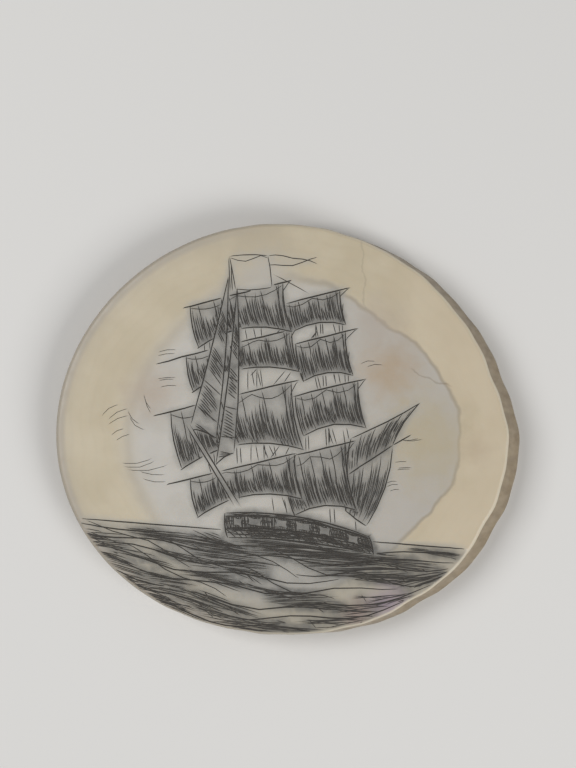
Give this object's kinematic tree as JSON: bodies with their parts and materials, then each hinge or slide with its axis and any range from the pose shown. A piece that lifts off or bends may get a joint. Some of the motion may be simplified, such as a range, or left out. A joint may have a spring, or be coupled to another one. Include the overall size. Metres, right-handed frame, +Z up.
{
  "type": "scrimshaw whale tooth slice",
  "caption": "Thin oval slice sawn across a whale tooth, with a leaning ridged side, a polished face engraved with a sailing ship on waves, and a flat plain back.",
  "frame": {"origin": "under the middle of the slice, on the surface its back lies on", "axes": "+X along the oval's long way and to the picture's right, +Y to the picture's top, +Z up out of the engraved face"},
  "size_m": [0.06, 0.053, 0.005],
  "materials": {
    "tooth": "polished aged tooth ivory: cream outer ring, paler greyish core, brown unpolished side, engraved lines filled with dark ink"
  },
  "bodies": {
    "root": {"tooth_slice": "tooth"}
  },
  "joints": []
}
